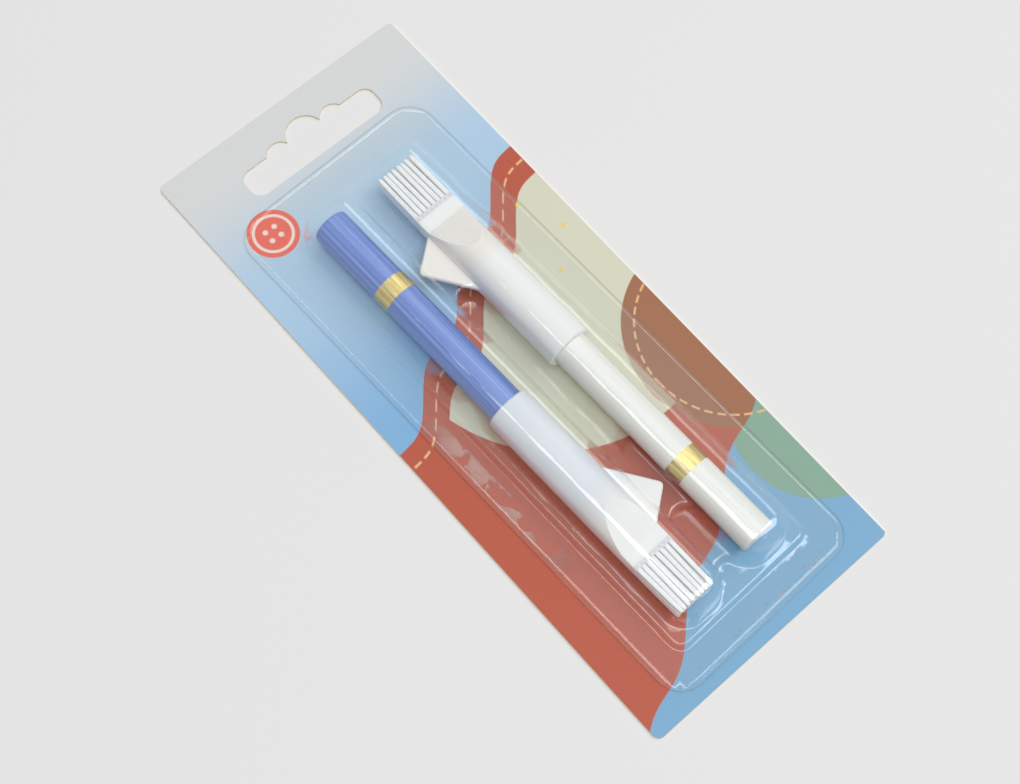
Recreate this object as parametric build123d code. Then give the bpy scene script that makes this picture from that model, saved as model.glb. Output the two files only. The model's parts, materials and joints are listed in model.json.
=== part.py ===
from build123d import *
from math import atan, cos, degrees, radians
import os

# Tailor's chalk for sale: two chalk pencils, white and blue, each with a pull-off cap that ends in
# a brush for rubbing out chalk marks. They lie head to tail in a clear thermoformed blister,
# which is heat-sealed to a printed card with a hang slot.
# Millimetres. The origin is the centre of the card's back, +Z is up through the card's face,
# +X goes across the card and +Y along it, towards the hang slot.

# Card: its margins are what it shows round the blister's flange, both sides or ends together
card_margins = 12.6
card_end_margins = 19.5
card_thickness = 0.5
card_corner = 1.5

# Hang slot: a long bar with three round lobes on its upper side
slot_width = 33.0
slot_height = 6.4
slot_corner = 2.4
slot_from_top = 11.35
slot_lobe_radius = 4.2
slot_lobe_offset = 2.25
slot_side_lobe_radius = 3.0
slot_side_lobe_offset = 1.7
slot_side_lobe_spacing = 6.8

# Blister film: a flange, a shallow tier, and on it a trough for each pencil
film = 0.35
flange_rim = 6.45
flange_end_rim = 6.5
flange_corner = 6.0
tier_rim = 2.45
tier_end_rim = 1.95
tier_corner = 2.6
tier_height = 1.2
tier_draft = 25.0
side_room = 1.35
end_room = 3.5
trough_corner = 4.6
trough_draft = 5.0
trough_fillet = 3.2
head_room = 0.35

# Between the troughs: a pocket over each cap's fin, and outside it a lower web
fin_gap = 1.95
fin_room = 0.8
pocket_lead = 1.5
web_setback = 5.3
web_height = 3.0
bridge_draft = 3.0

# Heat seal between the flange and the card
seal_thickness = 0.05
seal_setback = 0.8

# How the pack lies on the card, as photographed: a little askew, and the pencils slid in their room
pack_from_middle = -7.0
pack_from_side = -0.35
pack_skew = 1.4
side_play = -0.65
white_end_play = 0.1
blue_end_play = -0.6
rest_gap = 0.1

# Pencil
pencil_diameter = 7.5
pencil_length = 84.9
lead_diameter = 3.4
lead_tip_diameter = 1.6
cone_length = 10.5
lacquer = 0.1
dip_thickness = 0.4
dip_bevel = 0.25
band_from_end = 19.0
band_width = 3.8
foil = 0.08

# Cap, from its mouth at zero to the brush
cap_wall = 1.05
cap_length = 39.0
cap_clearance = 0.05
mouth_bevel = 0.3
bore_end_wall = 4.0
bore_end_clearance = 0.5
bore_tip_clearance = 0.35
bore_cone_setback = 0.6
blade_length = 4.0
blade_thickness = 3.1
wedge_length = 8.6

# Fin on the cap: its sloping sides run from the peak to the foot, nearer the mouth, and to the shoulder
fin_thickness = 1.2
fin_reach = 11.5
fin_foot_run = 10.0
fin_shoulder_run = 4.8
fin_tip_round = 1.0
fin_edge_bevel = 0.25

# Brush: rows of tapered pins moulded on a plate
pin_columns = 8
pin_rows = 3
pin_pitch = 1.17
pin_row_pitch = 1.05
pin_base = 0.95
pin_tip = 0.58
pin_point = 0.34
pin_point_length = 0.45
pin_length = 11.2
pin_gather_share = 0.05
brush_plate = 0.8

# One overrun for every cut
overrun = 1.0

# Turns, in degrees
quarter_turn = 90
half_turn = 180

# Places that follow from the sizes: the pencil and its cap
pencil_radius = pencil_diameter / 2
wood_radius = pencil_radius - lacquer
lead_radius = lead_diameter / 2
lead_tip_radius = lead_tip_diameter / 2
cone_start = pencil_length - cone_length
bore_radius = pencil_radius + cap_clearance
cap_radius = bore_radius + cap_wall
cap_diameter = 2 * cap_radius
bore_depth = cap_length - bore_end_wall
wedge_end = cap_length - blade_length
wedge_start = wedge_end - wedge_length
fin_shoulder = wedge_end
fin_peak = fin_shoulder - fin_shoulder_run
fin_foot = fin_peak - fin_foot_run
pencil_in_cap = bore_depth - bore_end_clearance
bore_straight = pencil_in_cap - cone_length + bore_cone_setback
bore_tip_radius = lead_tip_radius + bore_tip_clearance
visible_pencil = pencil_length - pencil_in_cap
set_length = visible_pencil + cap_length + pin_length

# The blister, which takes its room from what it holds, and the card, which carries the blister
card_face = card_thickness
film_foot = card_face + seal_thickness
axis_height = card_face + rest_gap + cap_radius
trough_width = cap_diameter + 2 * side_room
trough_length = set_length + 2 * end_room
trough_spacing = fin_reach + fin_gap + pencil_radius
trough_height = axis_height + cap_radius + head_room - film_foot
island_radius = (trough_spacing - trough_width) / 2
pocket_length = fin_shoulder - fin_foot
pocket_from_middle = visible_pencil - set_length / 2 + (fin_foot + fin_shoulder) / 2 + pocket_lead
pocket_height = axis_height + fin_thickness / 2 + fin_room - film_foot
web_end_from_middle = trough_length / 2 - web_setback
tier_width = trough_spacing + trough_width + 2 * tier_rim
tier_length = trough_length + 2 * tier_end_rim
flange_width = tier_width + 2 * flange_rim
flange_length = tier_length + 2 * flange_end_rim
card_width = flange_width + card_margins
card_length = flange_length + card_end_margins


def rounded_prism(width, length, corner, thickness):
    """A flat plate with rounded corners, standing on z = 0."""
    return extrude(RectangleRounded(width, length, corner), thickness)


def top_edges(solid):
    """The edges round a block's upper face."""
    return solid.faces().sort_by(Axis.Z)[-1].edges()


def card():
    """The printed board with its hang slot."""
    board = rounded_prism(card_width, card_length, card_corner, card_thickness)
    slot = RectangleRounded(slot_width, slot_height, slot_corner)
    slot += Pos(0, slot_lobe_offset) * Circle(slot_lobe_radius)
    for side in (-1, 1):
        slot += Pos(side * slot_side_lobe_spacing, slot_side_lobe_offset) * Circle(slot_side_lobe_radius)
    cut = extrude(slot, card_thickness + 2 * overrun)
    return board - Pos(0, card_length / 2 - slot_from_top, -overrun) * cut


def bridge(from_middle, length, height, ends, wall):
    """A low block across the gap between the troughs, with round hollows in the given ends."""
    outline = Rectangle(trough_spacing - trough_width / 2, length)
    for end in ends:
        outline -= Pos(0, end * length / 2) * Circle(island_radius - wall)
    return Pos(0, from_middle, 0) * extrude(outline, height + wall, taper=bridge_draft)


def raised_form(wall):
    """What the film is drawn over, with a wall's thickness added all round: zero gives the inside."""
    tier = RectangleRounded(tier_width + 2 * wall, tier_length + 2 * wall, tier_corner + wall)
    trough = RectangleRounded(trough_width + 2 * wall, trough_length + 2 * wall, trough_corner + wall)
    trough = extrude(trough, trough_height + wall, taper=trough_draft)
    trough = fillet(top_edges(trough), trough_fillet + wall)
    form = extrude(tier, tier_height + wall, taper=tier_draft)
    web_length = web_end_from_middle - pocket_from_middle + island_radius
    for side in (-1, 1):
        form += Pos(side * trough_spacing / 2, 0, 0) * trough
        form += bridge(side * pocket_from_middle, pocket_length + 2 * island_radius, pocket_height,
                       (-1, 1), wall)
        form += bridge(side * (pocket_from_middle + web_length / 2), web_length, web_height, (side,), wall)
    return form


def blister():
    """The clear film: a flat flange round the hollow raised form."""
    flange = rounded_prism(flange_width, flange_length, flange_corner, film)
    return flange + raised_form(film) - raised_form(0)


def heat_seal():
    """The bonded frame between the flange and the card."""
    outside = RectangleRounded(
        flange_width - 2 * seal_setback, flange_length - 2 * seal_setback, flange_corner - seal_setback)
    inside = RectangleRounded(tier_width + 2 * film, tier_length + 2 * film, tier_corner + film)
    return extrude(outside - inside, seal_thickness)


# Pencil and cap pieces lie along +Y: a pencil from its blunt end, a cap from its mouth.


def turned(points):
    """A solid of revolution about Y from points of (radius, place along the axis)."""
    return revolve(make_face(Polyline(*points, close=True)), Axis.Y)


def cone_place(radius):
    """The place along the pencil where the sharpened cone has a radius."""
    taper = (pencil_radius - lead_tip_radius) / cone_length
    return cone_start + (pencil_radius - radius) / taper


def lead():
    """The round chalk core, pointed with the wood."""
    return turned([
        (0, dip_thickness), (lead_radius, dip_thickness), (lead_radius, cone_place(lead_radius)),
        (lead_tip_radius, pencil_length), (0, pencil_length)])


def casing(upper):
    """One of the two grooved wood slats glued round the core."""
    rod = turned([
        (lead_radius, dip_thickness), (wood_radius, dip_thickness), (wood_radius, cone_place(wood_radius)),
        (lead_radius, cone_place(lead_radius))])
    half = Box(pencil_diameter, pencil_length + overrun, pencil_diameter,
               align=(Align.CENTER, Align.MIN, Align.MIN if upper else Align.MAX))
    return rod & half


def lacquer_coat():
    """The coloured coat on the wood, dipped over the blunt end, whose rim is broken by two bevels."""
    return turned([
        (0, 0), (pencil_radius - 2 * dip_bevel, 0), (pencil_radius - dip_bevel / 2, dip_bevel / 2),
        (pencil_radius, 2 * dip_bevel), (pencil_radius, cone_start), (wood_radius, cone_start),
        (wood_radius, dip_thickness), (0, dip_thickness)])


def foil_band():
    """The thin metal foil rolled round the pencil."""
    low = band_from_end - band_width / 2
    high = band_from_end + band_width / 2
    return turned([
        (pencil_radius, low), (pencil_radius + foil, low), (pencil_radius + foil, high),
        (pencil_radius, high)])


def cap_outside():
    """The round cap, flattened to a blade at the brush end by two sloping faces."""
    rod = turned([
        (0, 0), (cap_radius - mouth_bevel, 0), (cap_radius, mouth_bevel), (cap_radius, cap_length),
        (0, cap_length)])
    blade = blade_thickness / 2
    profile = Plane.YZ * make_face(Polyline(
        (-overrun, -cap_diameter), (wedge_start - (cap_diameter - cap_radius) * wedge_slope(), -cap_diameter),
        (wedge_end, -blade), (cap_length + overrun, -blade), (cap_length + overrun, blade),
        (wedge_end, blade), (wedge_start - (cap_diameter - cap_radius) * wedge_slope(), cap_diameter),
        (-overrun, cap_diameter), close=True))
    return rod & extrude(profile, cap_diameter, both=True)


def wedge_slope():
    """The wedge's run along the cap for each unit of its fall."""
    return (wedge_end - wedge_start) / (cap_radius - blade_thickness / 2)


def fin():
    """The flat three-sided fin that keeps the cap from rolling."""
    root = bore_radius + cap_clearance
    plate = make_face(Polyline(
        (-root, fin_foot - (cap_radius - root) * (fin_peak - fin_foot) / (fin_reach - cap_radius)),
        (-fin_reach, fin_peak),
        (-root, fin_shoulder + (cap_radius - root) * (fin_shoulder - fin_peak) / (fin_reach - cap_radius)),
        close=True))
    peak = plate.vertices().sort_by(Axis.X)[0]
    plate = extrude(fillet(peak, fin_tip_round), fin_thickness / 2, both=True)
    rims = plate.faces().filter_by(Axis.Z).edges()
    return chamfer(rims, fin_edge_bevel)


def cap():
    """The moulded cap up to the brush plate, with its bore and fin."""
    body = cap_outside() + fin()
    bore = turned([
        (0, -overrun), (bore_radius, -overrun), (bore_radius, bore_straight),
        (bore_tip_radius, bore_depth), (0, bore_depth)])
    keep = Box(4 * cap_diameter, cap_length - brush_plate + overrun, 2 * cap_diameter,
               align=(Align.CENTER, Align.MIN, Align.CENTER))
    return (body - bore) & (Pos(0, -overrun, 0) * keep)


def pin(column, row):
    """One tapered four-sided pin with a blunt point, leaning a little towards the brush's middle."""
    x = (column - (pin_columns - 1) / 2) * pin_pitch
    z = (row - (pin_rows - 1) / 2) * pin_row_pitch
    foot = Pos(x, cap_length - brush_plate / 2, z)
    shank_length = pin_length - pin_point_length + brush_plate / 2
    shank_draft = degrees(atan((pin_base - pin_tip) / 2 / shank_length))
    point_draft = degrees(atan((pin_tip - pin_point) / 2 / pin_point_length))
    upright = extrude(Rectangle(pin_base, pin_base), shank_length, taper=shank_draft)
    point = extrude(Rectangle(pin_tip, pin_tip), pin_point_length, taper=point_draft)
    upright += Pos(0, 0, shank_length) * point
    lean_x = degrees(atan(x * pin_gather_share / pin_length))
    lean_z = degrees(atan(z * pin_gather_share / pin_length))
    return foot * Rot(-lean_z, 0, lean_x) * Rot(-quarter_turn, 0, 0) * upright


def brush():
    """The brush: its pins, moulded on a plate that ends the cap's blade."""
    keep = Box(2 * cap_diameter, brush_plate + overrun, 2 * cap_diameter,
               align=(Align.CENTER, Align.MIN, Align.CENTER))
    plate = cap_outside() & (Pos(0, cap_length - brush_plate, 0) * keep)
    pins = [pin(column, row) for column in range(pin_columns) for row in range(pin_rows)]
    return plate + pins


def pack_place():
    """The pack's own frame on the card: its middle, turned by the skew."""
    return Pos(pack_from_side, pack_from_middle, 0) * Rot(0, 0, pack_skew)


def pencil_place(side, turn, end_play):
    """A pencil's frame: blunt end at zero, in its trough, head to tail with the other one."""
    across = side * trough_spacing / 2 + side_play
    along = end_play - cos(radians(turn)) * set_length / 2
    return pack_place() * Pos(across, along, axis_height) * Rot(0, 0, turn)


def chalk_pencil(colour, side, turn, end_play):
    """The pieces of one pencil and its cap, each under its own name and in its place."""
    place = pencil_place(side, turn, end_play)
    cap_place = place * Pos(0, visible_pencil, 0)
    return {
        colour + "_lead": place * lead(),
        colour + "_casing_upper": place * casing(True),
        colour + "_casing_lower": place * casing(False),
        colour + "_lacquer": place * lacquer_coat(),
        colour + "_foil_band": place * foil_band(),
        colour + "_cap": cap_place * cap(),
        colour + "_brush": cap_place * brush(),
    }


pieces = {
    "backing_card": card(),
    "heat_seal": Pos(0, 0, card_face) * pack_place() * heat_seal(),
    "blister": Pos(0, 0, film_foot) * pack_place() * blister(),
}
pieces.update(chalk_pencil("white", 1, 0, white_end_play))
pieces.update(chalk_pencil("blue", -1, half_turn, blue_end_play))

os.makedirs("parts", exist_ok=True)
for name, piece in pieces.items():
    export_step(piece, "parts/" + name + ".step")
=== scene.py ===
"""Two chalk pencils, white and blue, in a clear blister on a printed hang card.

The card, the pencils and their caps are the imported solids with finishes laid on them. The blister
film, the heat-seal lacquer and the brushes are modelled here, with the soft rounding of a drawn film
and of moulded pins.
"""
import json
import math

import bpy
import numpy as np
from mathutils import Matrix, Vector
from mathutils.geometry import delaunay_2d_cdt


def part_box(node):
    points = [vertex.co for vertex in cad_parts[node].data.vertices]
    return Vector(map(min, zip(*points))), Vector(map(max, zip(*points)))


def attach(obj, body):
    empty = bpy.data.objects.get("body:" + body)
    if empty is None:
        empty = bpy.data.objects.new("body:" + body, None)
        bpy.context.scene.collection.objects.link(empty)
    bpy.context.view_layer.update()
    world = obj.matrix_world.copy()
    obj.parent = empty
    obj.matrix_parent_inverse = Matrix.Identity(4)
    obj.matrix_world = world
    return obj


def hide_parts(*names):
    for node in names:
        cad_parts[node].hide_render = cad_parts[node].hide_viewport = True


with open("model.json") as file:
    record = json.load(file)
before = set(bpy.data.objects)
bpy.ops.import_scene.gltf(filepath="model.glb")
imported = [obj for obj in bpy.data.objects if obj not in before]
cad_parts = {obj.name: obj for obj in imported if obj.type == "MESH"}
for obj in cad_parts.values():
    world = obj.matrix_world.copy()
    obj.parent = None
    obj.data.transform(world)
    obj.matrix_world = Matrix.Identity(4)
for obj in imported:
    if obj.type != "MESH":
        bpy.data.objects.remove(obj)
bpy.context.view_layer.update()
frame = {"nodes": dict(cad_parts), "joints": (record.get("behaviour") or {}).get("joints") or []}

mm = 0.001

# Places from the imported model


def joint_axis(name):
    """A joint's unit axis."""
    return Vector(next(joint["axis"] for joint in frame["joints"] if joint["name"] == name))


def middle_of(node):
    """The middle of a node's box."""
    low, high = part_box(node)
    return (low + high) / 2


card_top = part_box("backing_card")[1].z
film_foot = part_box("blister")[0].z
film_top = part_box("blister")[1].z
pack_middle = middle_of("heat_seal")
pack_along = joint_axis("white_cap_pull")
pack_turn = math.atan2(-pack_along.x, pack_along.y)
pencil_turn = {"white": pack_turn, "blue": pack_turn + math.pi}
axis_height = middle_of("white_lead").z
pack_frame = (Matrix.Translation((pack_middle.x, pack_middle.y, film_foot))
              @ Matrix.Rotation(pack_turn, 4, "Z"))

# Sizes of a pencil and its cap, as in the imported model

pencil_length = 84.9 * mm
pencil_in_cap = 34.5 * mm
cone_length = 10.5 * mm
cap_length = 39.0 * mm
cap_radius = 4.85 * mm
blade_thickness = 3.1 * mm
lacquer_length = pencil_length - cone_length
cap_mouth = pencil_length - pencil_in_cap


def blunt_end(colour):
    """The middle of a pencil's blunt end, from which its pieces are placed."""
    along = joint_axis(colour + "_cap_pull")
    middle = middle_of(colour + "_lacquer")
    return Vector((middle.x, middle.y, axis_height)) - along * lacquer_length / 2


# Materials


def linear(hex_colour):
    """An sRGB hex colour as linear red, green, blue and alpha."""
    channels = [int(hex_colour[i:i + 2], 16) / 255 for i in (1, 3, 5)]
    return [c / 12.92 if c <= 0.04045 else ((c + 0.055) / 1.055) ** 2.4 for c in channels] + [1.0]


def add(tree, kind, links=None, out=0, **settings):
    """Adds one node and returns an output: links gives its inputs' values or sources."""
    node = tree.nodes.new(kind if "Node" in kind else "ShaderNode" + kind)
    for name, value in settings.items():
        setattr(node, name, value)
    for name, value in (links or {}).items():
        if isinstance(value, bpy.types.NodeSocket):
            tree.links.new(value, node.inputs[name])
        else:
            node.inputs[name].default_value = value
    return node.outputs[out] if node.outputs else None


def new_material(name):
    """A material with an empty node tree."""
    material = bpy.data.materials.new(name)
    material.use_nodes = True
    material.node_tree.nodes.clear()
    return material, material.node_tree


def in_frame(tree, place, turn):
    """Object coordinates in millimetres, in a frame that lies at a place and is turned about Z."""
    object_place = add(tree, "TexCoord", out="Object")
    return add(tree, "Mapping", {"Vector": object_place, "Location": place, "Rotation": (0, 0, turn),
                                 "Scale": (mm, mm, mm)}, vector_type="TEXTURE")


def grain(tree, place, size, low, high, detail=3.0):
    """A cloudy pattern, whose features have a size in millimetres, as a mask from 0 to 1."""
    noise = add(tree, "TexNoise", {"Vector": place, "Scale": 1 / size, "Detail": detail})
    return add(tree, "MapRange", {"Value": noise, "From Min": low, "From Max": high},
               interpolation_type="SMOOTHSTEP")


def between(tree, value, start, end, edge):
    """A mask that is 1 between two places and falls off softly outside them."""
    rise = add(tree, "MapRange", {"Value": value, "From Min": start - edge, "From Max": start},
               interpolation_type="SMOOTHSTEP")
    fall = add(tree, "MapRange", {"Value": value, "From Min": end + edge, "From Max": end},
               interpolation_type="SMOOTHSTEP")
    return add(tree, "Math", {0: rise, 1: fall}, operation="MULTIPLY")


def round_pencil(tree, colour):
    """A pencil's own place in millimetres, the share of a turn from its top, and the way along it."""
    place = in_frame(tree, blunt_end(colour), pencil_turn[colour])
    x, y, z = add(tree, "SeparateXYZ", {0: place}).node.outputs
    angle = add(tree, "Math", {0: x, 1: z}, operation="ARCTAN2")
    return place, add(tree, "Math", {0: angle, 1: 2 * math.pi}, operation="DIVIDE"), y


# The print: cloth scraps with wavy hems, running stitches and a button, in millimetres on the card's
# face. Each shape is a distance from its outline, negative inside.


def disc(tree, place, x, y, radius):
    """The distance from a printed disc's edge."""
    reach = add(tree, "VectorMath", {0: place, 1: (x, y, 0)}, out="Value", operation="DISTANCE")
    return add(tree, "Math", {0: reach, 1: radius}, operation="SUBTRACT")


def under_hem(tree, place, height, slope, wave, wave_length):
    """The distance from a slanted wavy hem, negative below it."""
    x, y, _ = add(tree, "SeparateXYZ", {0: place}).node.outputs
    phase = add(tree, "Math", {0: x, 1: 2 * math.pi / wave_length}, operation="MULTIPLY")
    swing = add(tree, "Math", {0: add(tree, "Math", {0: phase}, operation="SINE"), 1: wave, 2: height},
                operation="MULTIPLY_ADD")
    line = add(tree, "Math", {0: x, 1: slope, 2: swing}, operation="MULTIPLY_ADD")
    above = add(tree, "Math", {0: y, 1: line}, operation="SUBTRACT")
    return add(tree, "Math", {0: above, 1: math.hypot(1, slope)}, operation="DIVIDE")


def stitches(tree, outline, inset, run, width=0.4, pitch=2.6, seen=0.64):
    """A running stitch that follows an outline inside it, and is seen for a share of its pitch."""
    beside = add(tree, "Math", {0: add(tree, "Math", {0: outline, 1: inset}, operation="ADD")},
                 operation="ABSOLUTE")
    thread = add(tree, "Math", {0: beside, 1: width / 2}, operation="SUBTRACT")
    beat = add(tree, "Math", {0: run, 1: pitch / 2}, operation="PINGPONG")
    dash = add(tree, "Math", {0: beat, 1: pitch * seen / 2}, operation="SUBTRACT")
    return add(tree, "Math", {0: thread, 1: dash}, operation="MAXIMUM")


def printed_board():
    """Coated carton, offset printed on the front: clear inks under a thin satin sheen with the fine
    speckle of the halftone, a straw-coloured core on the cut edges, and an unprinted greyish back."""
    hem_stitch_inset, hem_cloth_inset = 3.2, 6.5
    patch_x, patch_y, patch_radius, patch_stitch_inset = 36, -22, 21, 2.6
    button_x, button_y, button_radius, rim_radius, rim_half_width = -19, 50, 5.2, 3.9, 0.3
    hole_shift, hole_radius, star_radius = 1.1, 0.55, 0.45
    stars = ((22, 24), (19, 8), (26, 15))
    ink_edge, margin_start, margin_end, speckle_share = 0.1, 29.6, 29.75, 0.1
    thread, pale_button = "#E3B583", "#F6DDD2"

    material, tree = new_material("printed_carton_board")
    place = in_frame(tree, (0, 0, card_top), 0)
    x, y, _ = add(tree, "SeparateXYZ", {0: place}).node.outputs
    pale_sky = between(tree, y, start=-90, end=40, edge=26)
    deep_sky = between(tree, y, start=-90, end=-2, edge=44)
    ink = add(tree, "Mix", {"Factor": pale_sky, "A": linear("#D2D5D5"), "B": linear("#A8C7E1")},
              "Result", data_type="RGBA")
    ink = add(tree, "Mix", {"Factor": deep_sky, "A": ink, "B": linear("#74AAD6")}, "Result",
              data_type="RGBA")

    hem = under_hem(tree, place, height=17, slope=0.62, wave=1.6, wave_length=19)
    low_hem = under_hem(tree, place, height=-53, slope=0.6, wave=-1.3, wave_length=23)
    panel_hem = add(tree, "Math", {0: hem, 1: hem_cloth_inset}, operation="ADD")
    panel = add(tree, "Math", {0: panel_hem, 1: disc(tree, place, x=14, y=6, radius=33)},
                operation="MAXIMUM")
    patch = disc(tree, place, patch_x, patch_y, patch_radius)
    patch_turn = add(tree, "Math", {0: add(tree, "Math", {0: y, 1: patch_y}, operation="SUBTRACT"),
                                    1: add(tree, "Math", {0: x, 1: patch_x}, operation="SUBTRACT")},
                     operation="ARCTAN2")
    patch_run = add(tree, "Math", {0: patch_turn, 1: patch_radius - patch_stitch_inset},
                    operation="MULTIPLY")
    leaf = add(tree, "Math", {0: low_hem, 1: disc(tree, place, x=36, y=-46, radius=17)},
               operation="MAXIMUM")
    rim = add(tree, "Math", {0: disc(tree, place, button_x, button_y, rim_radius)}, operation="ABSOLUTE")
    rim = add(tree, "Math", {0: rim, 1: rim_half_width}, operation="SUBTRACT")
    layers = [(hem, "#B2421E"), (panel, "#D2D1BA"), (patch, "#985C36"), (low_hem, "#6FA5CB"),
              (leaf, "#7CA38E"),
              (stitches(tree, hem, hem_stitch_inset, x), thread),
              (stitches(tree, patch, patch_stitch_inset, patch_run), thread),
              (disc(tree, place, button_x, button_y, button_radius), "#EE5136"), (rim, pale_button)]
    layers += [(disc(tree, place, button_x + shift_x, button_y + shift_y, hole_radius), pale_button)
               for shift_x in (-hole_shift, hole_shift) for shift_y in (-hole_shift, hole_shift)]
    layers += [(disc(tree, place, star_x, star_y, star_radius), "#E9CC3C") for star_x, star_y in stars]
    for outline, colour in layers:
        inside = add(tree, "MapRange", {"Value": outline, "From Min": ink_edge, "From Max": -ink_edge})
        ink = add(tree, "Mix", {"Factor": inside, "A": ink, "B": linear(colour)}, "Result",
                  data_type="RGBA")
    speckle = grain(tree, place, size=0.17, low=0.25, high=0.75, detail=4.0)
    speckle = add(tree, "Math", {0: speckle, 1: speckle_share}, operation="MULTIPLY")
    ink = add(tree, "Mix", {"Factor": speckle, "A": ink, "B": linear("#F4F2EA")}, "Result",
              data_type="RGBA")
    bare = add(tree, "MapRange", {"Value": x, "From Min": margin_start, "From Max": margin_end})
    ink = add(tree, "Mix", {"Factor": bare, "A": ink, "B": linear("#F2F1EC")}, "Result",
              data_type="RGBA")

    # The print lies on the faces that look up, the bare back on those that look down
    facing = add(tree, "NewGeometry", out="Normal")
    _, _, up = add(tree, "SeparateXYZ", {0: facing}).node.outputs
    fibre = grain(tree, place, size=0.25, low=0.2, high=0.8)
    core = add(tree, "Mix", {"Factor": fibre, "A": linear("#CDB68E"), "B": linear("#F0E6CC")}, "Result",
               data_type="RGBA")
    back = add(tree, "Mix", {"Factor": fibre, "A": linear("#D3CFC6"), "B": linear("#E4E0D8")}, "Result",
               data_type="RGBA")
    front = add(tree, "MapRange", {"Value": up, "From Min": 0.4, "From Max": 0.6})
    behind = add(tree, "MapRange", {"Value": up, "From Min": -0.4, "From Max": -0.6})
    colour = add(tree, "Mix", {"Factor": front, "A": core, "B": ink}, "Result", data_type="RGBA")
    colour = add(tree, "Mix", {"Factor": behind, "A": colour, "B": back}, "Result", data_type="RGBA")
    surface = grain(tree, place, size=1.4, low=0.3, high=0.7)
    bump = add(tree, "Bump", {"Height": surface, "Strength": 0.2, "Distance": 0.012 * mm})
    shader = add(tree, "BsdfPrincipled", {"Base Color": colour, "Roughness": 0.45, "IOR": 1.45,
                                          "Specular IOR Level": 0.35, "Normal": bump})
    add(tree, "OutputMaterial", {"Surface": shader})
    return material


def heat_seal_lacquer():
    """Heat-seal lacquer wetted between film and card: it deepens the print a little where it took, and
    leaves whitish islands with small holes where it didn't."""
    hole_spacing = 0.55
    material, tree = new_material("heat_seal_lacquer")
    place = in_frame(tree, pack_middle, pack_turn)
    x, y, _ = add(tree, "SeparateXYZ", {0: place}).node.outputs
    left = add(tree, "Math", {0: between(tree, x, start=-22.3, end=-19.6, edge=0.8),
                              1: between(tree, y, start=-20, end=0, edge=14)}, operation="MULTIPLY")
    end = add(tree, "Math", {0: between(tree, y, start=-60.8, end=-59.8, edge=0.4),
                             1: between(tree, x, start=-20, end=20, edge=2)}, operation="MULTIPLY")
    to_hole = add(tree, "TexVoronoi", {"Vector": place, "Scale": 1 / hole_spacing})
    holes = add(tree, "MapRange", {"Value": to_hole, "From Min": 0.1, "From Max": 0.3})
    islands = add(tree, "Math", {0: grain(tree, place, size=4.4, low=0.47, high=0.52, detail=9.0),
                                 1: holes}, operation="MULTIPLY")
    left_islands = add(tree, "Math", {0: left, 1: islands}, operation="MULTIPLY")
    end_specks = grain(tree, place, size=1.3, low=0.56, high=0.62, detail=4.0)
    end_specks = add(tree, "Math", {0: end, 1: end_specks}, operation="MULTIPLY")
    whitish = add(tree, "Math", {0: left_islands, 1: end_specks}, operation="MAXIMUM")
    colour = add(tree, "Mix", {"Factor": whitish, "A": linear("#5A4F55"), "B": linear("#F3E2D8")},
                 "Result", data_type="RGBA")
    alpha = add(tree, "MapRange", {"Value": whitish, "To Min": 0.012, "To Max": 0.18})
    shader = add(tree, "BsdfPrincipled", {"Base Color": colour, "Roughness": 0.6, "IOR": 1.49,
                                          "Specular IOR Level": 0.1, "Alpha": alpha})
    add(tree, "OutputMaterial", {"Surface": shader})
    return material


def clear_film():
    """Drawn polyester film: water-clear and glossy, mirroring more the flatter it is looked along, with
    faint ripples. Light on its way to the card passes through it, as it does through so thin a film."""
    square_mirror, mirror_rise = 0.04, 5.0
    material, tree = new_material("clear_polyester_film")
    place = in_frame(tree, pack_middle, pack_turn)
    ripples = add(tree, "TexNoise", {"Vector": place, "Scale": 0.3, "Detail": 2.0})
    bump = add(tree, "Bump", {"Height": ripples, "Strength": 0.3, "Distance": 0.12 * mm})
    mirror = add(tree, "BsdfGlossy", {"Color": linear("#FFFFFF"), "Roughness": 0.05, "Normal": bump})
    see_through = add(tree, "BsdfTransparent", {"Color": linear("#FDFEFE")})
    grazing = add(tree, "LayerWeight", {"Blend": 0.5}, "Facing")
    steep = add(tree, "Math", {0: grazing, 1: mirror_rise}, operation="POWER")
    share = add(tree, "Math", {0: steep, 1: 1 - square_mirror, 2: square_mirror},
                operation="MULTIPLY_ADD")
    rays = add(tree, "LightPath").node.outputs
    lighting = add(tree, "Math", {0: rays["Is Shadow Ray"], 1: rays["Is Diffuse Ray"]},
                   operation="MAXIMUM")
    seen = add(tree, "Math", {0: 1.0, 1: lighting}, operation="SUBTRACT")
    share = add(tree, "Math", {0: share, 1: seen}, operation="MULTIPLY")
    shader = add(tree, "MixShader", {0: share, 1: see_through, 2: mirror})
    add(tree, "OutputMaterial", {"Surface": shader})
    return material


def film_edge():
    """The film's cut edge: light piped along the sheet leaves it grey, and the grey also paints the thin
    shadow line along the flange's rim, which the film, letting light through, does not cast.
    """
    material, tree = new_material("cut_film_edge_with_painted_shadow")
    # Painted shadow: the edge's grey also stands in for the thin shadow line at the flange's rim.
    shader = add(tree, "BsdfPrincipled", {"Base Color": linear("#5C6066"), "Roughness": 0.3, "IOR": 1.57,
                                          "Alpha": 0.45})
    add(tree, "OutputMaterial", {"Surface": shader})
    return material


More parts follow.
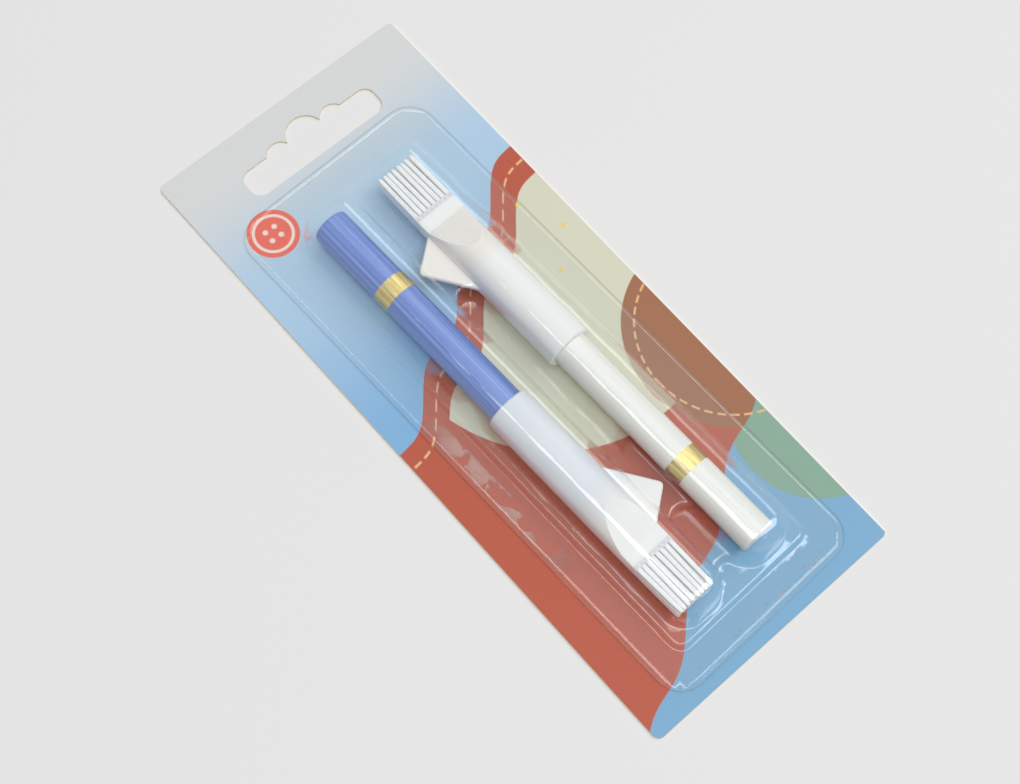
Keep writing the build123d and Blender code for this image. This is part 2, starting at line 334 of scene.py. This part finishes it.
def lacquer(colour, pale, deep, reflection_streak):
    """Nitro lacquer on turned wood: even colour with a broad soft gloss, and a few thin pale lines along
    the pencil, which are painted reflections of the film's walls."""
    body_stretch, reflection_wander, reflection_strength = 0.012, 0.0002, 0.5
    material, tree = new_material(colour + "_nitro_lacquer")
    place, share, along = round_pencil(tree, colour)
    drawn = add(tree, "Mapping", {"Vector": place, "Scale": (1, body_stretch, 1)})
    body = grain(tree, drawn, size=1.1, low=0.32, high=0.68, detail=1.0)
    tint = add(tree, "Mix", {"Factor": body, "A": linear(deep), "B": linear(pale)}, "Result",
               data_type="RGBA")
    # Painted reflection: thin pale lines along the pencil, in the streak colour, stand in for the film's
    # walls mirrored in the coat.
    wander = add(tree, "Math", {0: along, 1: reflection_wander}, operation="MULTIPLY")
    reflection_line_place = add(tree, "CombineXYZ", {0: share, 1: wander})
    # Here the size is a share of a turn, not millimetres
    painted_reflection_lines = grain(tree, reflection_line_place, size=0.013, low=0.6, high=0.64, detail=1.0)
    painted_reflection_lines = add(tree, "Math", {0: painted_reflection_lines, 1: reflection_strength}, operation="MULTIPLY")
    tint = add(tree, "Mix", {"Factor": painted_reflection_lines, "A": tint, "B": linear(reflection_streak)}, "Result",
               data_type="RGBA")
    bump = add(tree, "Bump", {"Height": body, "Strength": 0.25, "Distance": 0.02 * mm})
    shader = add(tree, "BsdfPrincipled", {"Base Color": tint, "Roughness": 0.4, "IOR": 1.5,
                                          "Specular IOR Level": 0.9, "Normal": bump})
    add(tree, "OutputMaterial", {"Surface": shader})
    return material


def gold_foil(colour):
    """Hot-stamped gold foil rolled round the pencil: bright metal, with fine pale and dark creases along
    the pencil."""
    crease_wander = 0.002
    material, tree = new_material(colour + "_gold_foil")
    _, share, along = round_pencil(tree, colour)
    wander = add(tree, "Math", {0: along, 1: crease_wander}, operation="MULTIPLY")
    rolled = add(tree, "CombineXYZ", {0: share, 1: wander})
    # Here too the size is a share of a turn
    creases = grain(tree, rolled, size=0.03, low=0.3, high=0.7, detail=4.0)
    tint = add(tree, "Mix", {"Factor": creases, "A": linear("#BDA154"), "B": linear("#E9DBA2")},
               "Result", data_type="RGBA")
    bump = add(tree, "Bump", {"Height": creases, "Strength": 0.4, "Distance": 0.04 * mm})
    shader = add(tree, "BsdfPrincipled", {"Base Color": tint, "Metallic": 1.0, "Roughness": 0.32,
                                          "Normal": bump})
    add(tree, "OutputMaterial", {"Surface": shader})
    return material


def cap_plastic(colour, thin, thick, showing):
    """Injection-moulded natural polyethylene: milky, so that what lies in the cap tints its thin wall,
    with cloudy flow marks and a soft waxy sheen."""
    cone_start, cone_end = lacquer_length / mm, pencil_length / mm
    cone_margin, cone_fade, cone_strength = 1, 3, 0.3
    thickening_run, flow_stretch, cloud_strength = 6, 0.35, 0.3
    material, tree = new_material(colour + "_cap_polyethylene")
    place, _, along = round_pencil(tree, colour)
    cone = between(tree, along, cone_start + cone_margin, cone_end - cone_margin, cone_fade)
    cone = add(tree, "Math", {0: cone, 1: cone_strength}, operation="MULTIPLY")
    solid = add(tree, "MapRange", {"Value": along, "From Min": cone_start,
                                   "From Max": cone_start + thickening_run})
    tint = add(tree, "Mix", {"Factor": solid, "A": linear(thin), "B": linear(thick)}, "Result",
               data_type="RGBA")
    tint = add(tree, "Mix", {"Factor": cone, "A": tint, "B": linear(showing)}, "Result",
               data_type="RGBA")
    flow = add(tree, "Mapping", {"Vector": place, "Scale": (1, flow_stretch, 1)})
    clouds = grain(tree, flow, size=3.4, low=0.35, high=0.7)
    clouds = add(tree, "Math", {0: clouds, 1: cloud_strength}, operation="MULTIPLY")
    tint = add(tree, "Mix", {"Factor": clouds, "A": tint, "B": linear("#F7F7F5")}, "Result",
               data_type="RGBA")
    skin = grain(tree, place, size=0.5, low=0.3, high=0.7)
    bump = add(tree, "Bump", {"Height": skin, "Strength": 0.15, "Distance": 0.02 * mm})
    shader = add(tree, "BsdfPrincipled", {
        "Base Color": tint, "Roughness": 0.38, "IOR": 1.51, "Subsurface Weight": 0.3,
        "Subsurface Radius": (1.0, 1.0, 1.0), "Subsurface Scale": 0.8 * mm, "Normal": bump})
    add(tree, "OutputMaterial", {"Surface": shader})
    return material


def brush_plastic():
    """The cap's polyethylene in thin pins: milky white, with a soft waxy sheen."""
    material, tree = new_material("brush_polyethylene")
    place = in_frame(tree, (0, 0, 0), 0)
    cloud = grain(tree, place, size=0.6, low=0.3, high=0.7)
    tint = add(tree, "Mix", {"Factor": cloud, "A": linear("#EEEEF0"), "B": linear("#F6F6F6")}, "Result",
               data_type="RGBA")
    bump = add(tree, "Bump", {"Height": cloud, "Strength": 0.15, "Distance": 0.02 * mm})
    shader = add(tree, "BsdfPrincipled", {
        "Base Color": tint, "Roughness": 0.38, "IOR": 1.51, "Subsurface Weight": 0.3,
        "Subsurface Radius": (1.0, 1.0, 1.0), "Subsurface Scale": 0.5 * mm, "Normal": bump})
    add(tree, "OutputMaterial", {"Surface": shader})
    return material


def sharpened_wood(colour):
    """Sharpened linden wood: pale straw, with darker year lines along the cone, dry and matt."""
    grain_stretch = 0.08
    material, tree = new_material(colour + "_linden_wood")
    place, _, _ = round_pencil(tree, colour)
    stretched = add(tree, "Mapping", {"Vector": place, "Scale": (1.0, grain_stretch, 1.0)})
    rings = grain(tree, stretched, size=0.55, low=0.34, high=0.66, detail=6.0)
    tint = add(tree, "Mix", {"Factor": rings, "A": linear("#B98A55"), "B": linear("#DDB884")}, "Result",
               data_type="RGBA")
    bump = add(tree, "Bump", {"Height": rings, "Strength": 0.35, "Distance": 0.06 * mm})
    shader = add(tree, "BsdfPrincipled", {"Base Color": tint, "Roughness": 0.62, "Normal": bump})
    add(tree, "OutputMaterial", {"Surface": shader})
    return material


def chalk(colour, pale, deep):
    """Pressed chalk and clay: dry, dead matt and slightly grainy."""
    material, tree = new_material(colour + "_pressed_chalk")
    place, _, _ = round_pencil(tree, colour)
    dust = grain(tree, place, size=0.25, low=0.35, high=0.65, detail=6.0)
    tint = add(tree, "Mix", {"Factor": dust, "A": linear(deep), "B": linear(pale)}, "Result",
               data_type="RGBA")
    bump = add(tree, "Bump", {"Height": dust, "Strength": 0.4, "Distance": 0.08 * mm})
    shader = add(tree, "BsdfPrincipled", {"Base Color": tint, "Roughness": 0.9,
                                          "Specular IOR Level": 0.2, "Normal": bump})
    add(tree, "OutputMaterial", {"Surface": shader})
    return material


def dress(node, material):
    """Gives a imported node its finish."""
    mesh = frame["nodes"][node].data
    mesh.materials.clear()
    mesh.materials.append(material)


def new_piece(name, points, faces, place, materials, smooth=True):
    """A finished piece: its mesh carries its place, and its object stays at the origin."""
    mesh = bpy.data.meshes.new(name)
    mesh.from_pydata(points, [], faces)
    mesh.transform(place)
    for material in materials:
        mesh.materials.append(material)
    mesh.polygons.foreach_set("use_smooth", [smooth] * len(mesh.polygons))
    mesh.update()
    piece = bpy.data.objects.new(name, mesh)
    bpy.context.scene.collection.objects.link(piece)
    return piece


# The blister film, drawn over a form: its height above the card is worked out at rings of points that
# follow each outline, in the pack's frame, with u across and v along

film = 0.35 * mm
film_gap = 0.01 * mm
flange_width = 47.4 * mm
flange_length = 124.5 * mm
flange_corner = 6.0 * mm
tier_width = 34.5 * mm
tier_length = 111.5 * mm
tier_corner = 2.6 * mm
tier_wall = dict(height=1.2 * mm, draft=math.radians(25), shoulder=0.5 * mm, foot=0.6 * mm)
trough_spacing = 17.2 * mm
trough_width = 12.4 * mm
trough_length = 107.6 * mm
trough_corner = 4.6 * mm
trough_draft = math.radians(5)
trough_shoulder = 3.2 * mm
trough_foot = 0.75 * mm
trough_height = film_top - film_foot - film - film_gap - tier_wall["height"]
pocket_start = 21.8 * mm
pocket_end = 36.6 * mm
pocket_wall = dict(height=5.1 * mm, draft=trough_draft, shoulder=0.8 * mm, foot=trough_foot)
web_end = 48.5 * mm
web_wall = dict(height=1.8 * mm, draft=trough_draft, shoulder=0.8 * mm, foot=trough_foot)
hollow_radius = (trough_spacing - trough_width) / 2
arc_rings = 7


def inside_rounded(u, v, width, length, corner):
    """How far inside a rounded rectangle's outline a point lies."""
    du = np.abs(u) - (width / 2 - corner)
    dv = np.abs(v) - (length / 2 - corner)
    return corner - np.hypot(np.maximum(du, 0), np.maximum(dv, 0)) - np.minimum(np.maximum(du, dv), 0)


def wall_runs(height, draft, shoulder, foot):
    """A drawn wall's turn, and the insets where its foot arc starts and its shoulder arc ends."""
    turned = math.pi / 2 - draft
    start = -foot * math.tan(turned / 2)
    end = height * math.tan(draft) + shoulder * math.tan(turned / 2)
    return turned, start, end


def wall_rings(height, draft, shoulder, foot):
    """The insets at which rings of points follow a wall's rounded profile, first up its foot."""
    turned, start, end = wall_runs(height, draft, shoulder, foot)
    turns = np.linspace(0, turned, arc_rings)
    return list(start + foot * np.sin(turns)) + list(end - shoulder * np.sin(turns[::-1]))


def drawn_wall(inset, height, draft, shoulder, foot):
    """The height of a wall with a round foot, a drafted face and a round shoulder, by the inset."""
    turned, start, end = wall_runs(height, draft, shoulder, foot)
    foot_arc = foot - np.sqrt(foot ** 2 - np.clip(inset - start, 0, foot) ** 2)
    shoulder_arc = height - shoulder + np.sqrt(shoulder ** 2 - np.clip(end - inset, 0, shoulder) ** 2)
    face = np.where(inset > end - shoulder * math.sin(turned), shoulder_arc, inset / math.tan(draft))
    return np.where(inset < start + foot * math.sin(turned), foot_arc, face)


def between_hollows(u, v, end):
    """How far inside a bridge between the troughs a point lies, where round hollows end it."""
    away = np.abs(v)
    near_centre, far_centre = pocket_start - hollow_radius, end + hollow_radius
    walls = np.minimum(np.hypot(u, away - near_centre), np.hypot(u, away - far_centre)) - hollow_radius
    ends = np.minimum(away - near_centre, far_centre - away)
    return np.minimum(np.minimum(walls, ends), trough_spacing / 2 - np.abs(u))


def film_height(u, v):
    """The film's inner height over the card."""
    tier = drawn_wall(inside_rounded(u, v, tier_width, tier_length, tier_corner), **tier_wall)
    pocket = drawn_wall(between_hollows(u, v, pocket_end), **pocket_wall)
    web = drawn_wall(between_hollows(u, v, web_end), **web_wall)
    low = np.maximum(pocket, web)
    inset = inside_rounded(np.abs(u) - trough_spacing / 2, v, trough_width, trough_length, trough_corner)
    inset = inset - (tier_wall["height"] + low) * math.tan(trough_draft)
    trough = drawn_wall(inset, trough_height - low, trough_draft, trough_shoulder, trough_foot)
    return tier + low + trough


def ripple(u, v):
    """How far the film sinks from its form, as it does where it cooled unevenly: broad swells with finer
    ones on them, whose waves are given in radians per millimetre."""
    wide_depth, fine_depth = 0.04, 0.01
    along, across = v / mm, u / mm
    wide = np.sin(along * 0.52 + 0.9 * np.sin(across * 0.31)) * np.sin(across * 0.45 + 1.1)
    fine = np.sin(along * 1.3 + across * 0.7) * np.sin(along * 0.37 + 2.0)
    return (wide_depth * (wide - 1) + fine_depth * (fine - 1)) * mm


def rounded_ring(middle, width, length, corner, inset, step):
    """Points round a rounded rectangle, an inset inside its outline, about a step apart."""
    least_bend, bend_step = 0.05 * mm, 0.5 * mm
    bend = max(corner - inset, least_bend)
    turns = np.linspace(0, math.pi / 2, max(3, round(bend * math.pi / 2 / bend_step) + 1))
    ring = []
    for quarter, (side_u, side_v) in enumerate(((1, 1), (-1, 1), (-1, -1), (1, -1))):
        for turn in turns + quarter * math.pi / 2:
            ring.append((middle + side_u * (width / 2 - inset - bend) + bend * math.cos(turn),
                         side_v * (length / 2 - inset - bend) + bend * math.sin(turn)))
    filled = []
    for (here_u, here_v), (ahead_u, ahead_v) in zip(ring, ring[1:] + ring[:1]):
        pieces = max(1, round(math.dist((here_u, here_v), (ahead_u, ahead_v)) / step))
        filled += [(here_u + (ahead_u - here_u) * i / pieces, here_v + (ahead_v - here_v) * i / pieces)
                   for i in range(pieces)]
    return filled


def film_lines():
    """The closed rings and open arcs along which the film bends."""
    rim_step, trough_step, arc_points = 1.5 * mm, 1.2 * mm, 19
    rings = [rounded_ring(0, flange_width, flange_length, flange_corner, 0, rim_step)]
    rings += [rounded_ring(0, tier_width, tier_length, tier_corner, inset, rim_step)
              for inset in wall_rings(**tier_wall)]
    insets = []
    for level in (0, web_wall["height"], pocket_wall["height"]):
        standing = wall_rings(trough_height - level, trough_draft, trough_shoulder, trough_foot)
        shift = (tier_wall["height"] + level) * math.tan(trough_draft)
        insets += [inset + shift for inset in (standing if level == 0 else standing[:arc_rings])]
    for side in (-1, 1):
        rings += [rounded_ring(side * trough_spacing / 2, trough_width, trough_length, trough_corner,
                               inset, trough_step) for inset in sorted(insets)]
    arcs = []
    turns = np.linspace(-math.pi / 2, math.pi / 2, arc_points)
    for side in (-1, 1):
        for edge, wall, toward in ((pocket_start, pocket_wall, 1), (pocket_end, pocket_wall, -1),
                                   (web_end, web_wall, -1)):
            centre = side * (edge - toward * hollow_radius)
            arcs += [[((hollow_radius + inset) * math.sin(turn),
                       centre + side * toward * (hollow_radius + inset) * math.cos(turn))
                      for turn in turns] for inset in wall_rings(**wall)]
    return rings, arcs


def loose_points(step):
    """Loose points over the flat stretches of the film, clear of its rim and its walls."""
    in_from_rim, off_tier_wall = 0.6 * mm, 1.2 * mm
    before_wall, onto_bridge, onto_trough = 1.0 * mm, 1.5 * mm, 4.0 * mm
    u, v = np.meshgrid(np.arange(-flange_width / 2 + step, flange_width / 2, step),
                       np.arange(-flange_length / 2 + step, flange_length / 2, step))
    u, v = u.ravel(), v.ravel()
    flange = inside_rounded(u, v, flange_width, flange_length, flange_corner)
    tier = inside_rounded(u, v, tier_width, tier_length, tier_corner)
    trough = inside_rounded(np.abs(u) - trough_spacing / 2, v, trough_width, trough_length,
                            trough_corner)
    clear = (flange > in_from_rim) & (np.abs(tier) > off_tier_wall)
    clear &= (trough < -before_wall) | (trough > onto_trough)
    for end in (web_end, pocket_end):
        bridge = between_hollows(u, v, end)
        clear &= (bridge < -before_wall) | (bridge > onto_bridge) | (trough > onto_trough)
    return list(zip(u[clear], v[clear]))


def filled_plane(rings, arcs, loose):
    """Points and triangles that fill the outermost ring and keep every line's edges."""
    triangles_to_hull, same_point = 0, 1e-4
    points, edges = [], []
    for line, closed in [(ring, True) for ring in rings] + [(arc, False) for arc in arcs]:
        start = len(points)
        points += line
        edges += [(i, i + 1) for i in range(start, len(points) - 1)]
        if closed:
            edges.append((len(points) - 1, start))
    points += loose
    flat, _, triangles, *_ = delaunay_2d_cdt([Vector(point) / mm for point in points], edges, [],
                                             triangles_to_hull, same_point)
    return np.array([tuple(point) for point in flat]) * mm, np.array(triangles)


def sheet_faces(triangles, count):
    """The faces of a thin closed sheet: its under side, its upper side and the wall round its rims."""
    sides = np.concatenate([triangles[:, [0, 1]], triangles[:, [1, 2]], triangles[:, [2, 0]]]).tolist()
    paired = {(a, b) for a, b in sides}
    wall = [(a, b, b + count, a + count) for a, b in sides if (b, a) not in paired]
    return triangles[:, ::-1].tolist() + (triangles + count).tolist(), wall


def film_sheet():
    """The blister as one closed thin sheet: its inner face on the form, its outer face a film away."""
    point_spacing, reach = 1.6 * mm, 0.01 * mm
    flat, triangles = filled_plane(*film_lines(), loose_points(point_spacing))
    u, v = flat[:, 0], flat[:, 1]
    height = film_height(u, v)
    slope_u = (film_height(u + reach, v) - film_height(u - reach, v)) / (2 * reach)
    slope_v = (film_height(u, v + reach) - film_height(u, v - reach)) / (2 * reach)
    normal = np.stack([-slope_u, -slope_v, np.ones_like(u)], -1)
    normal /= np.linalg.norm(normal, axis=-1, keepdims=True)
    # The flange lies flat on the card, so the ripples start on the tier's wall
    raised = np.clip(height / tier_wall["height"], 0, 1)
    inner = np.stack([u, v, height + film_gap], -1) + normal * (ripple(u, v) * raised)[:, None]
    outer = inner + normal * film
    faces, wall = sheet_faces(triangles, len(flat))
    sheet = new_piece("blister_film", np.concatenate([inner, outer]).tolist(), faces + wall, pack_frame,
                      [clear_film(), film_edge()])
    sheet.data.polygons.foreach_set("material_index", [0] * len(faces) + [1] * len(wall))
    return sheet


def seal_sheet():
    """The lacquer between the flange and the card, as a thin closed frame."""
    setback, thin, lift, ring_step = 0.8 * mm, 0.02 * mm, 0.015 * mm, 2 * mm
    inner_edge = -film
    outside = rounded_ring(0, flange_width, flange_length, flange_corner, setback, ring_step)
    inside = rounded_ring(0, tier_width, tier_length, tier_corner, inner_edge, ring_step)
    flat, triangles = filled_plane([outside, inside], [], [])
    # Only the triangles outside the inner ring are kept, with a little allowance for rounding
    middles = flat[triangles].mean(1)
    kept = inside_rounded(middles[:, 0], middles[:, 1], tier_width, tier_length, tier_corner)
    kept = kept < inner_edge * 0.99
    low = np.column_stack([flat, np.full(len(flat), card_top - film_foot + lift)])
    faces, wall = sheet_faces(triangles[kept], len(flat))
    return new_piece("heat_seal_lacquer", np.concatenate([low, low + (0, 0, thin)]).tolist(),
                     faces + wall, pack_frame, [heat_seal_lacquer()])


# The brushes: rows of tapered pins moulded on a plate

brush_plate = 0.8 * mm


def pin_tree(material):
    """Geometry nodes that stand tapered pins in rows on a plate, each leaning a little by chance."""
    cuts, point_start, point_width, corner_radius = 24, 0.95, 0.58, 0.22
    tree = bpy.data.node_groups.new("moulded_pins", "GeometryNodeTree")
    tree.interface.new_socket("Plate", in_out="INPUT", socket_type="NodeSocketGeometry")
    for name, kind in (("Columns", "Int"), ("Rows", "Int"), ("Pitch", "Float"), ("Row Pitch", "Float"),
                       ("Base Width", "Float"), ("Tip Width", "Float"), ("Length", "Float"),
                       ("Gather", "Float"), ("Lean", "Float"), ("Seed", "Int")):
        tree.interface.new_socket(name, in_out="INPUT", socket_type="NodeSocket" + kind)
    tree.interface.new_socket("Brush", in_out="OUTPUT", socket_type="NodeSocketGeometry")
    given = add(tree, "NodeGroupInput").node.outputs
    spans = []
    for number, pitch in (("Columns", "Pitch"), ("Rows", "Row Pitch")):
        gaps = add(tree, "Math", {0: given[number], 1: 1.0}, operation="SUBTRACT")
        spans.append(add(tree, "Math", {0: gaps, 1: given[pitch]}, operation="MULTIPLY"))
    feet = add(tree, "GeometryNodeMeshGrid", {
        "Size X": spans[0], "Size Y": spans[1],
        "Vertices X": given["Columns"], "Vertices Y": given["Rows"]})

    # One pin: a rounded square, swept up a line that narrows and ends in a blunt point
    tip = add(tree, "CombineXYZ", {2: given["Length"]})
    line = add(tree, "GeometryNodeCurvePrimitiveLine", {"Start": (0, 0, 0), "End": tip})
    line = add(tree, "GeometryNodeResampleCurve", {"Curve": line, "Count": cuts})
    way = add(tree, "GeometryNodeSplineParameter", out="Factor")
    width = add(tree, "MapRange", {"Value": way, "To Min": given["Base Width"],
                                   "To Max": given["Tip Width"]})
    point = add(tree, "MapRange", {"Value": way, "From Min": point_start, "To Min": 1.0,
                                   "To Max": point_width})
    width = add(tree, "Math", {0: width, 1: point}, operation="MULTIPLY")
    profile = add(tree, "GeometryNodeCurvePrimitiveQuadrilateral", {"Width": 1.0, "Height": 1.0})
    profile = add(tree, "GeometryNodeFilletCurve", {"Curve": profile, "Count": 2,
                                                    "Radius": corner_radius}, mode="POLY")
    pin = add(tree, "GeometryNodeCurveToMesh", {"Curve": line, "Profile Curve": profile, "Scale": width,
                                                "Fill Caps": True})

    # Each pin turns a little towards the middle of the plate, and a little by chance
    x, y, _ = add(tree, "SeparateXYZ", {0: add(tree, "GeometryNodeInputPosition")}).node.outputs
    inward = add(tree, "Math", {0: given["Gather"], 1: given["Length"]}, operation="DIVIDE")
    outward = add(tree, "Math", {0: inward, 1: -1.0}, operation="MULTIPLY")
    gather = add(tree, "CombineXYZ", {0: add(tree, "Math", {0: y, 1: inward}, operation="MULTIPLY"),
                                      1: add(tree, "Math", {0: x, 1: outward}, operation="MULTIPLY")})
    chance = add(tree, "FunctionNodeRandomValue", {"Min": (-1, -1, -1), "Max": (1, 1, 1),
                                                   "Seed": given["Seed"]}, data_type="FLOAT_VECTOR")
    chance = add(tree, "VectorMath", {0: chance, "Scale": given["Lean"]}, operation="SCALE")
    turn = add(tree, "VectorMath", {0: gather, 1: chance}, operation="ADD")
    pins = add(tree, "GeometryNodeInstanceOnPoints", {"Points": feet, "Instance": pin, "Rotation": turn})
    pins = add(tree, "GeometryNodeRealizeInstances", {"Geometry": pins})
    joined = add(tree, "GeometryNodeJoinGeometry", {"Geometry": pins})
    tree.links.new(given["Plate"], joined.node.inputs["Geometry"])
    whole = add(tree, "GeometryNodeSetMaterial", {"Geometry": joined, "Material": material})
    add(tree, "NodeGroupOutput", {"Brush": whole})
    return tree


def moulded_brush(colour, material, seed):
    """One brush, standing on the end of its cap's blade."""
    side_points = 9
    reach = math.asin(blade_thickness / 2 / cap_radius)
    side = [(cap_radius * math.cos(turn), cap_radius * math.sin(turn))
            for turn in np.linspace(-reach, reach, side_points)]
    outline = side + [(-x, -y) for x, y in side]
    count = len(outline)
    points = [(x, y, 0) for x, y in outline] + [(x, y, brush_plate) for x, y in outline]
    faces = [tuple(range(count - 1, -1, -1)), tuple(range(count, 2 * count))]
    faces += [(i, (i + 1) % count, (i + 1) % count + count, i + count) for i in range(count)]
    tuft = new_piece(colour + "_brush_pins", points, faces, Matrix.Identity(4), [material], smooth=False)
    tree = pin_tree(material)
    sizes = {"Columns": 8, "Rows": 3, "Pitch": 1.17 * mm, "Row Pitch": 1.05 * mm,
             "Base Width": 1.02 * mm, "Tip Width": 0.9 * mm, "Length": 11.9 * mm,
             "Gather": 0.05, "Lean": 0.014, "Seed": seed}
    modifier = tuft.modifiers.new("pins", "NODES")
    modifier.node_group = tree
    for socket in tree.interface.items_tree:
        if socket.name in sizes:
            modifier[socket.identifier] = sizes[socket.name]
    mesh = bpy.data.meshes.new_from_object(tuft.evaluated_get(bpy.context.evaluated_depsgraph_get()))
    tuft.modifiers.clear()
    tuft.data = mesh
    mesh.name = tuft.name
    blade_end = (Matrix.Translation((0, cap_mouth + cap_length - brush_plate, 0))
                 @ Matrix.Rotation(-math.pi / 2, 4, "X"))
    pencil = (Matrix.Translation(blunt_end(colour))
              @ Matrix.Rotation(pencil_turn[colour], 4, "Z"))
    mesh.transform(pencil @ blade_end)
    mesh.update()
    return tuft


# The studio


def set_camera():
    """The camera at the photograph's place and angle, from the card's four corners."""
    place = Vector((-108.56, -84.74, 335.66)) * mm
    right = Vector((0.74403, -0.6645, 0.06971))
    down = Vector((-0.60378, -0.71337, -0.35574))
    ahead = Vector((0.28611, 0.22259, -0.93198))
    data = bpy.data.cameras.new("camera")
    data.sensor_width = 36.0
    data.lens = 66.44
    data.clip_start = 10 * mm
    camera = bpy.data.objects.new("camera", data)
    bpy.context.scene.collection.objects.link(camera)
    turn = Matrix((right, -down, -ahead)).transposed().to_4x4()
    camera.matrix_world = Matrix.Translation(place) @ turn
    bpy.context.scene.camera = camera


def set_lamp(name, direction, distance, width, length, power):
    """A softbox that faces the object from a direction."""
    data = bpy.data.lights.new(name, "AREA")
    data.shape = "RECTANGLE"
    data.size = width
    data.size_y = length
    data.energy = power
    lamp = bpy.data.objects.new(name, data)
    bpy.context.scene.collection.objects.link(lamp)
    toward = Vector(direction).normalized()
    lamp.location = toward * distance
    lamp.rotation_euler = toward.to_track_quat("Z", "Y").to_euler()


backdrop_white = 0.79


def seen_rays(tree):
    """1 for the rays that show the backdrop: seen straight, mirrored or through something clear."""
    rays = add(tree, "LightPath").node.outputs
    clear = add(tree, "Math", {0: rays["Is Glossy Ray"], 1: rays["Is Transmission Ray"]},
                operation="MAXIMUM")
    return add(tree, "Math", {0: rays["Is Camera Ray"], 1: clear}, operation="MAXIMUM")


def set_floor():
    """A plain pale sweep that keeps the object's shadow and runs into the backdrop's white far away."""
    half, plain_reach, white_reach = 3.0, 0.6, 1.7
    material, tree = new_material("paper_backdrop")
    paper = add(tree, "BsdfDiffuse", {"Color": linear("#E6E6E6")})
    backdrop = add(tree, "Emission", {"Color": (1, 1, 1, 1), "Strength": backdrop_white})
    away = add(tree, "VectorMath", {0: add(tree, "TexCoord", out="Object")}, out="Value",
               operation="LENGTH")
    far = add(tree, "MapRange", {"Value": away, "From Min": plain_reach, "From Max": white_reach},
              interpolation_type="SMOOTHSTEP")
    share = add(tree, "Math", {0: far, 1: seen_rays(tree)}, operation="MULTIPLY")
    shader = add(tree, "MixShader", {0: share, 1: paper, 2: backdrop})
    add(tree, "OutputMaterial", {"Surface": shader})
    corners = [(-half, -half, 0), (half, -half, 0), (half, half, 0), (-half, half, 0)]
    new_piece("floor", corners, [(0, 1, 2, 3)], Matrix.Identity(4), [material])


def set_world():
    """Even studio light from all round. What is seen of it is the backdrop's white."""
    studio_level = 0.33
    world = bpy.data.worlds.new("studio")
    world.use_nodes = True
    tree = world.node_tree
    tree.nodes.clear()
    strength = add(tree, "MapRange", {"Value": seen_rays(tree), "To Min": studio_level,
                                      "To Max": backdrop_white})
    light = add(tree, "Background", {"Color": (1, 1, 1, 1), "Strength": strength})
    add(tree, "OutputWorld", {"Surface": light})
    bpy.context.scene.world = world


bpy.context.scene.view_settings.view_transform = "Standard"
# Light crosses up to a dozen faces of film and pencil, so it isn't cut off after a few
bpy.context.scene.cycles.transparent_max_bounces = 32
set_camera()
set_world()
set_floor()
set_lamp("key_softbox", (0.40, -0.29, 0.87), distance=2.0, width=0.85, length=0.85, power=10.0)
set_lamp("side_softbox", (0.64, 0.20, 0.74), distance=2.0, width=1.2, length=0.5, power=5.0)
set_lamp("top_softbox", (-0.13, -0.14, 0.98), distance=2.0, width=1.2, length=1.2, power=16.6)
set_lamp("end_softbox", (0.286, -0.70, 0.66), distance=2.0, width=0.13, length=0.13, power=0.35)

dress("backing_card", printed_board())
sheet = film_sheet()
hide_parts("blister")
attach(sheet, "blister")
seal = seal_sheet()
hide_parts("heat_seal")
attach(seal, "card")

pins = brush_plastic()
finishes = {
    "white": (lacquer("white", pale="#F2F0EB", deep="#E9E6DF", reflection_streak="#FBFAF7"),
              chalk("white", pale="#F2F0EB", deep="#DFDCD4"),
              cap_plastic("white", thin="#F0EFED", thick="#F2F2F0", showing="#EBD3BE")),
    "blue": (lacquer("blue", pale="#688BD6", deep="#4669BE", reflection_streak="#B4C4EC"),
             chalk("blue", pale="#6C8FD0", deep="#4A6DB8"),
             cap_plastic("blue", thin="#DFE2EA", thick="#F0F0F0", showing="#EAE3DC")),
}
for seed, (colour, (coat, core, moulded)) in enumerate(finishes.items(), 1):
    dress(colour + "_lacquer", coat)
    dress(colour + "_lead", core)
    dress(colour + "_cap", moulded)
    dress(colour + "_foil_band", gold_foil(colour))
    wood = sharpened_wood(colour)
    dress(colour + "_casing_upper", wood)
    dress(colour + "_casing_lower", wood)
    tuft = moulded_brush(colour, pins, seed)
    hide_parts(colour + "_brush")
    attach(tuft, colour + "_cap")
